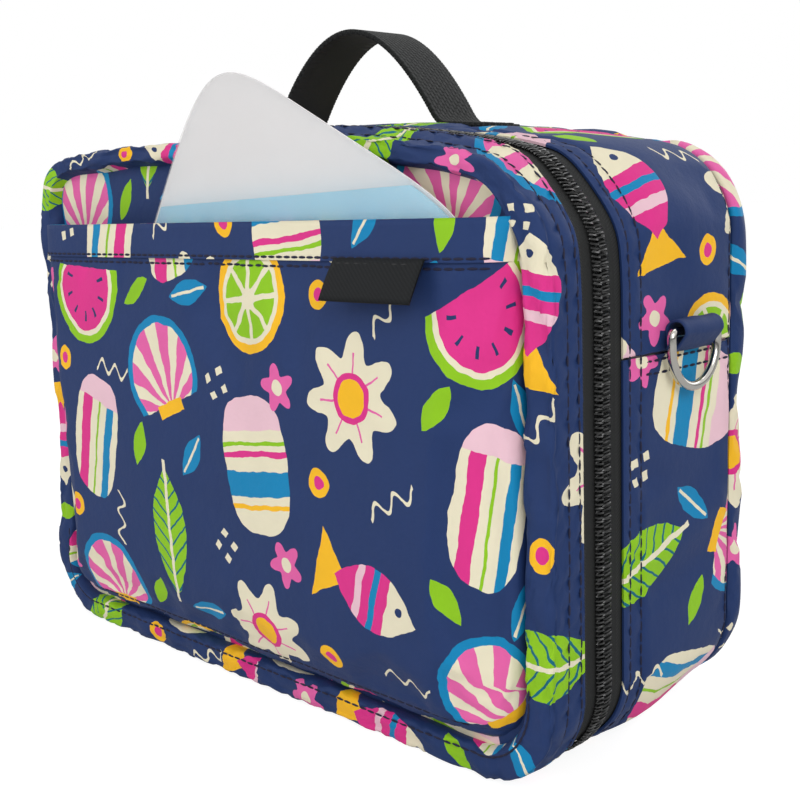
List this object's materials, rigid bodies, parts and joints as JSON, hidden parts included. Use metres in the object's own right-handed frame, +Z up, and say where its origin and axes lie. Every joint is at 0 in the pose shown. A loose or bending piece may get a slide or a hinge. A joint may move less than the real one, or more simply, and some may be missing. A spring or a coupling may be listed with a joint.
{
  "type": "insulated medicine case",
  "caption": "Soft insulated case with a zipped swing lid, a webbing handle, side D-rings and a gel pack standing in the lid's front pocket.",
  "frame": {"origin": "on the floor, under the middle of the case's width and depth, on the bottom of the rear gusset", "axes": "+X across the front to the right, +Y from front to back, +Z up"},
  "size_m": [0.2654, 0.1163, 0.2198],
  "materials": {
    "printed_cloth": null,
    "foam": "closed-cell foam",
    "lining": "silver heat-reflecting film",
    "elastic": "ribbed black elastic",
    "zip_tape": "woven black tape",
    "zip_coil": "black nylon coil",
    "webbing": "ribbed black webbing",
    "nickel": "polished nickel",
    "black_metal": "black enamel",
    "net": "open knitted net",
    "label": "bare woven black satin",
    "pack_film": "milky frosted film",
    "gel": "clear sky-blue gel"
  },
  "bodies": {
    "rear_shell": {"back_panel": "printed_cloth", "back_rim": "printed_cloth", "rear_gusset_upper": "printed_cloth", "rear_gusset_lower": "printed_cloth", "back_foam": "foam", "wall_foam": "foam", "rear_lining": "lining", "pen_loop_band": "elastic", "zip_tape_rear": "zip_tape", "zip_coil_rear": "zip_coil", "hinge_leaf_rear": "printed_cloth", "ring_tab_right": "printed_cloth", "ring_tab_left": "printed_cloth", "handle_pad_right": "webbing", "handle_pad_left": "webbing"},
    "front_lid": {"front_rim": "printed_cloth", "front_panel": "printed_cloth", "front_gusset": "printed_cloth", "front_foam": "foam", "front_lining": "lining", "zip_tape_front": "zip_tape", "zip_coil_front": "zip_coil", "hinge_leaf_front": "printed_cloth", "lid_net": "net", "lid_net_band": "elastic", "pocket_panel": "printed_cloth", "pocket_hem": "printed_cloth"},
    "label": {"label_tab": "label"},
    "gel_pack": {"pack_film_front": "pack_film", "pack_film_rear": "pack_film", "pack_gel": "gel"},
    "handle": {"handle_strap": "webbing"},
    "ring_right": {"d_ring_right": "nickel"},
    "ring_left": {"d_ring_left": "nickel"},
    "slider_left": {"zip_slider_left": "black_metal"},
    "slider_right": {"zip_slider_right": "black_metal"},
    "pull_left": {"zip_pull_left": "black_metal"},
    "pull_right": {"zip_pull_right": "black_metal"}
  },
  "joints": [
    {"name": "lid_swing", "type": "hinge", "parent": "rear_shell", "child": "front_lid", "pos_m": [-0.1253, -0.026, 0], "axis": [0, 0, -1], "range_deg": [0, 150]},
    {"name": "pack_lift", "type": "slide", "parent": "front_lid", "child": "gel_pack", "axis": [0, 0, 1], "range_m": [0, 0.15]},
    {"name": "label_lift", "type": "hinge", "parent": "front_lid", "child": "label", "pos_m": [0.0752, -0.05965, 0.1462], "axis": [-1, 0, 0], "range_deg": [-26, 58], "stiffness_Nm_per_rad": 0.002},
    {"name": "handle_lean", "type": "hinge", "parent": "rear_shell", "child": "handle", "pos_m": [0, 0.0135, 0.18661], "axis": [1, 0, 0], "range_deg": [-15, 15], "stiffness_Nm_per_rad": 0.15},
    {"name": "ring_right_swing", "type": "hinge", "parent": "rear_shell", "child": "ring_right", "pos_m": [0.129, 0.013, 0.1228], "axis": [0, -1, 0], "range_deg": [-5, 150]},
    {"name": "ring_left_swing", "type": "hinge", "parent": "rear_shell", "child": "ring_left", "pos_m": [-0.129, 0.013, 0.1228], "axis": [0, 1, 0], "range_deg": [-5, 150]},
    {"name": "slider_left_travel", "type": "hinge", "parent": "rear_shell", "child": "slider_left", "pos_m": [0, -0.026, -0.344], "axis": [0, 1, 0], "range_deg": [-6.2, 0]},
    {"name": "slider_right_travel", "type": "hinge", "parent": "rear_shell", "child": "slider_right", "pos_m": [0, -0.026, -0.344], "axis": [0, 1, 0], "range_deg": [0, 10.9]},
    {"name": "pull_left_lift", "type": "hinge", "parent": "slider_left", "child": "pull_left", "pos_m": [-0.02813, -0.026, 0.18766], "axis": [0, 1, 0], "range_deg": [0, 100]},
    {"name": "pull_right_lift", "type": "hinge", "parent": "slider_right", "child": "pull_right", "pos_m": [-0.01607, -0.026, 0.18816], "axis": [0, -1, 0], "range_deg": [0, 100]}
  ]
}
